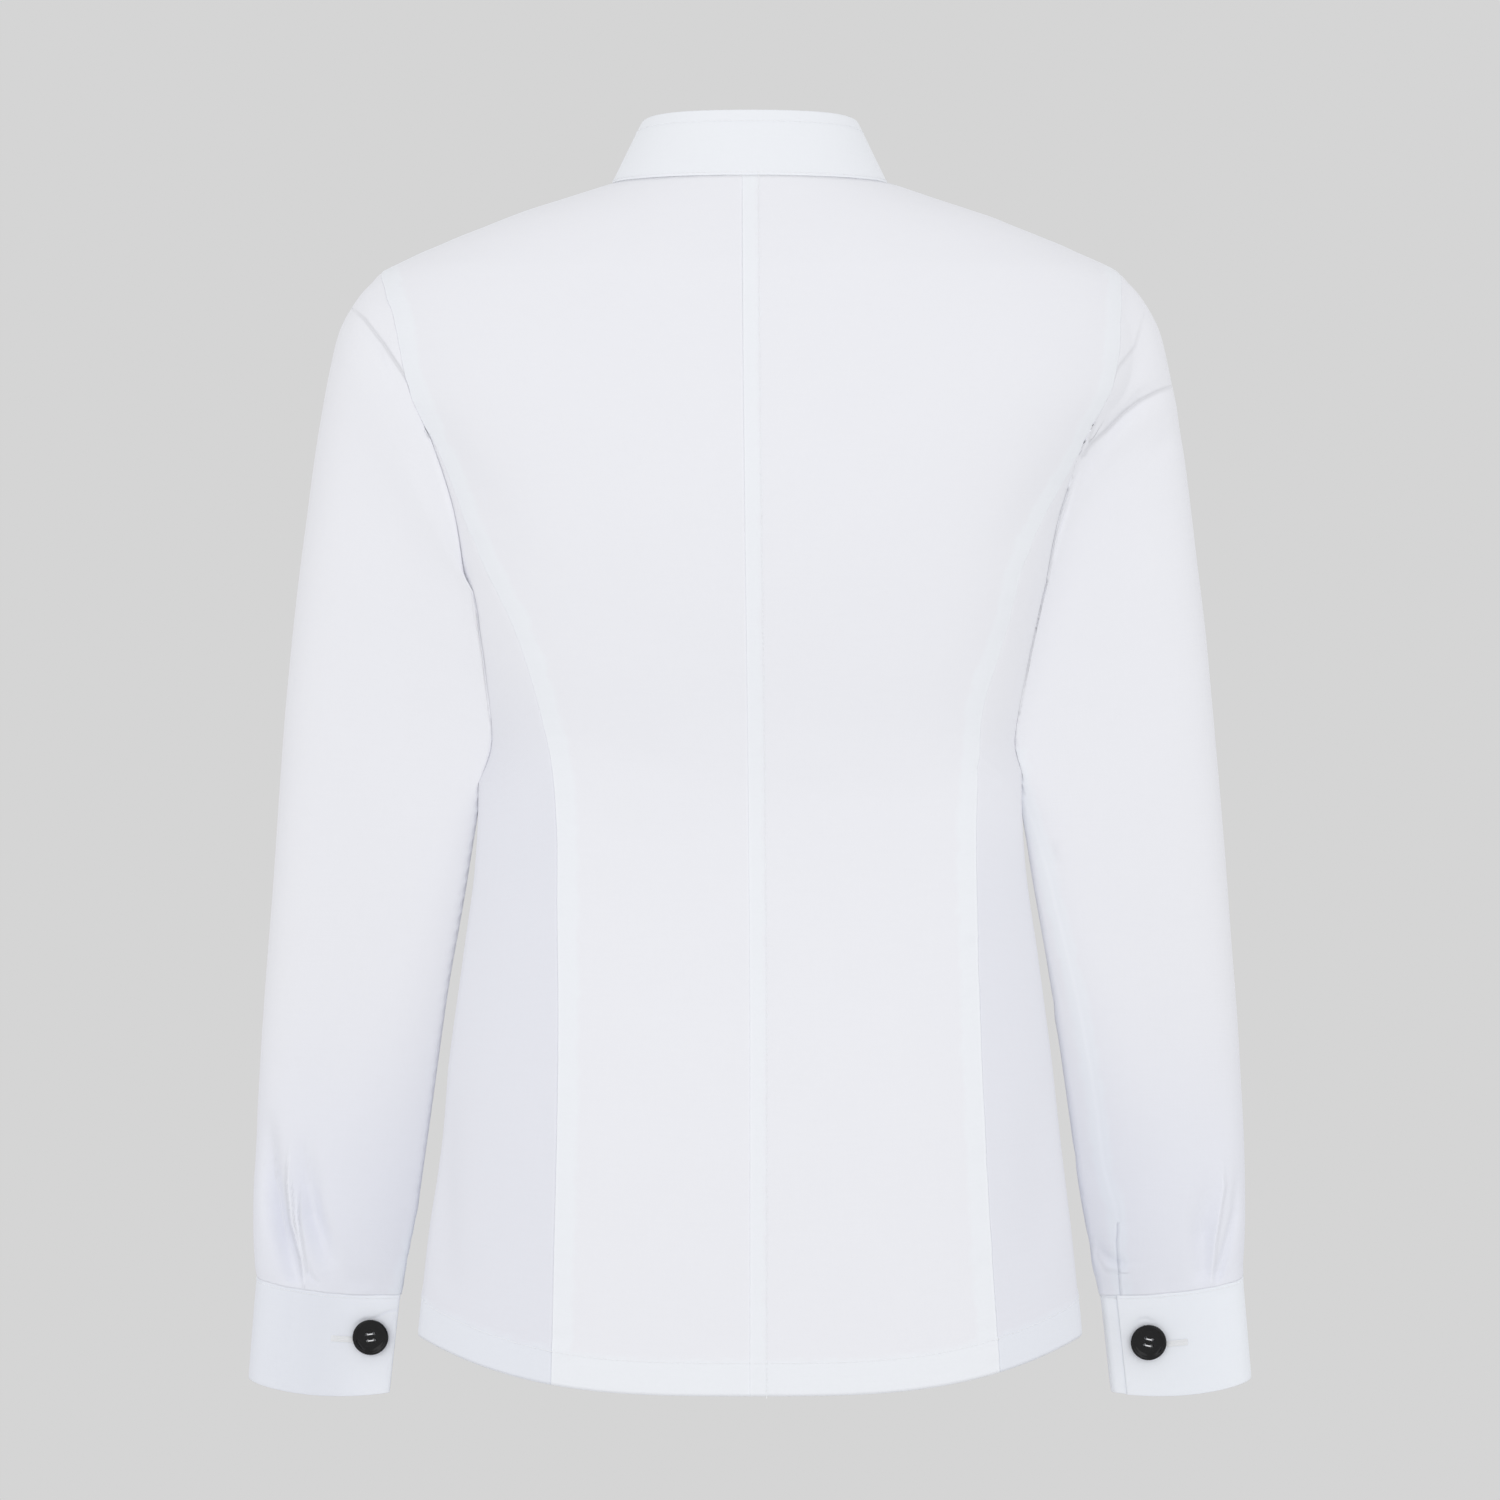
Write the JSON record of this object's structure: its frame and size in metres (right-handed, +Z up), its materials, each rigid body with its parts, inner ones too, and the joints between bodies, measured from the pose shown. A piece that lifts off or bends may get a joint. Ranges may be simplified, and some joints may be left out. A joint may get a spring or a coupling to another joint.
{
  "type": "waitress blouse",
  "caption": "Fitted long-sleeved blouse with a stand collar, princess-seamed back, rounded hem and buttoned cuffs, filled out and hollow as when worn.",
  "frame": {"origin": "midway between the two points where a shoulder seam meets the collar, where the wearer's shoulders hold the blouse up", "axes": "+Z up the wearer's body, +X towards the wearer's left sleeve, +Y towards the back of the blouse"},
  "size_m": [0.528, 0.2607, 0.6704],
  "materials": {
    "cloth": "plain woven poplin, matt",
    "button": "polished"
  },
  "bodies": {
    "root": {"back_left": "cloth", "side_back_left": "cloth", "front_left": "cloth", "sleeve_left": "cloth", "cuff_left": "cloth", "cuff_button_left": "button", "back_right": "cloth", "side_back_right": "cloth", "front_right": "cloth", "sleeve_right": "cloth", "cuff_right": "cloth", "cuff_button_right": "button", "collar": "cloth", "front_button_1": "button", "front_button_2": "button", "front_button_3": "button", "front_button_4": "button", "front_button_5": "button", "front_button_6": "button"}
  },
  "joints": []
}
